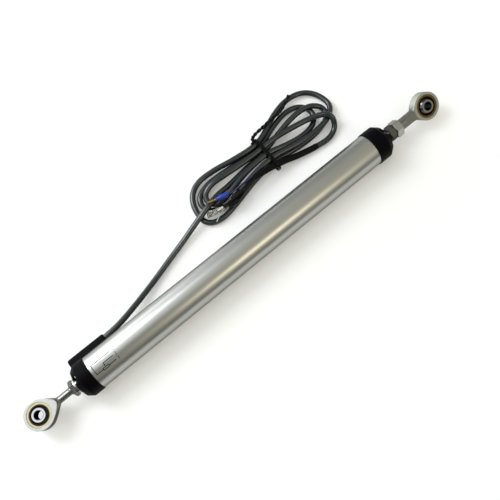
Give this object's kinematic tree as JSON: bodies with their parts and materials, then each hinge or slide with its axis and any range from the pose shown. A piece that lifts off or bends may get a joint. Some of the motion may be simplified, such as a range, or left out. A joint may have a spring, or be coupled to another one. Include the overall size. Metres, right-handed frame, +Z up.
{
  "type": "linear position sensor",
  "caption": "Rod-type linear position sensor: round aluminium tube with black end caps, sliding push rod, spherical rod ends at both ends and a side cable tied in a hank.",
  "frame": {"origin": "centre of the rear ball, in the middle of its 6 mm bore", "axes": "+X along the tube to the rod end at the front, +Z up along the rear bore, the cable boss on the +Y side"},
  "size_m": [0.355, 0.0855, 0.025],
  "materials": {
    "anodised_aluminium": "satin clear anodised extrusion",
    "black_plastic": "moulded glass-filled nylon, fine satin",
    "black_rubber": "nitrile rubber",
    "zinc_steel": "bright zinc-plated steel",
    "dark_steel": "dark passivated steel",
    "bronze": "sintered bronze",
    "nickel_brass": "nickel-plated brass",
    "polished_steel": "ground and polished steel",
    "board_laminate": "glass-epoxy laminate",
    "conductive_plastic": "conductive plastic film",
    "tinned_copper": "tinned copper",
    "core_insulation": "PVC core insulation",
    "white_acetal": "moulded acetal",
    "contact_alloy": "precious metal contact spring",
    "cable_jacket": "grey PVC jacket, satin",
    "shrink_sleeve": "heat-shrunk polyolefin sleeve",
    "blue_plastic": "moulded ferrule collar",
    "tie_plastic": "plastic-coated wire tie"
  },
  "bodies": {
    "housing": {"housing_tube": "anodised_aluminium", "rear_cap": "black_plastic", "front_cap": "black_plastic", "rear_gasket": "black_rubber", "front_gasket": "black_rubber", "cable_seal": "black_rubber", "rod_wiper_seal": "black_rubber", "front_stop_ring": "black_rubber", "rear_cap_screws": "zinc_steel", "front_cap_screws": "zinc_steel", "rear_rod_end": "zinc_steel", "rear_jam_nut": "zinc_steel", "rear_race": "bronze", "rod_guide_bush": "bronze", "rear_thread_insert": "nickel_brass", "element_board": "board_laminate", "resistive_track": "conductive_plastic", "collector_track": "conductive_plastic", "terminal_pins": "tinned_copper", "inner_leads": "core_insulation", "cable_lead": "cable_jacket", "cable_hank": "cable_jacket", "cable_end_sleeve": "shrink_sleeve", "core_wires": "core_insulation", "core_ferrules": "blue_plastic", "ferrule_pins": "tinned_copper", "shield_pigtail": "tinned_copper", "twist_tie": "tie_plastic"},
    "carriage": {"wiper_carriage": "white_acetal", "wiper_springs": "contact_alloy"},
    "rod": {"push_rod": "polished_steel", "rod_clips": "dark_steel", "front_jam_nut": "dark_steel", "front_rod_end": "zinc_steel", "front_race": "bronze"},
    "rear_pivot_ball": {"rear_ball": "polished_steel"},
    "front_pivot_ball": {"front_ball": "polished_steel"}
  },
  "joints": [
    {"name": "rod_slide", "type": "slide", "parent": "housing", "child": "carriage", "axis": [1, 0, 0], "range_m": [0, 0.15]},
    {"name": "rod_turn", "type": "hinge", "parent": "carriage", "child": "rod", "pos_m": [0.09, 0, 0], "axis": [1, 0, 0], "continuous": true},
    {"name": "rear_ball_tilt", "type": "hinge", "parent": "housing", "child": "rear_pivot_ball", "pos_m": [0, 0, 0], "axis": [0, 1, 0], "range_deg": [-13, 13]},
    {"name": "front_ball_tilt", "type": "hinge", "parent": "rod", "child": "front_pivot_ball", "pos_m": [0.335, 0, 0], "axis": [0, 0.829, 0.5592], "range_deg": [-13, 13]}
  ]
}
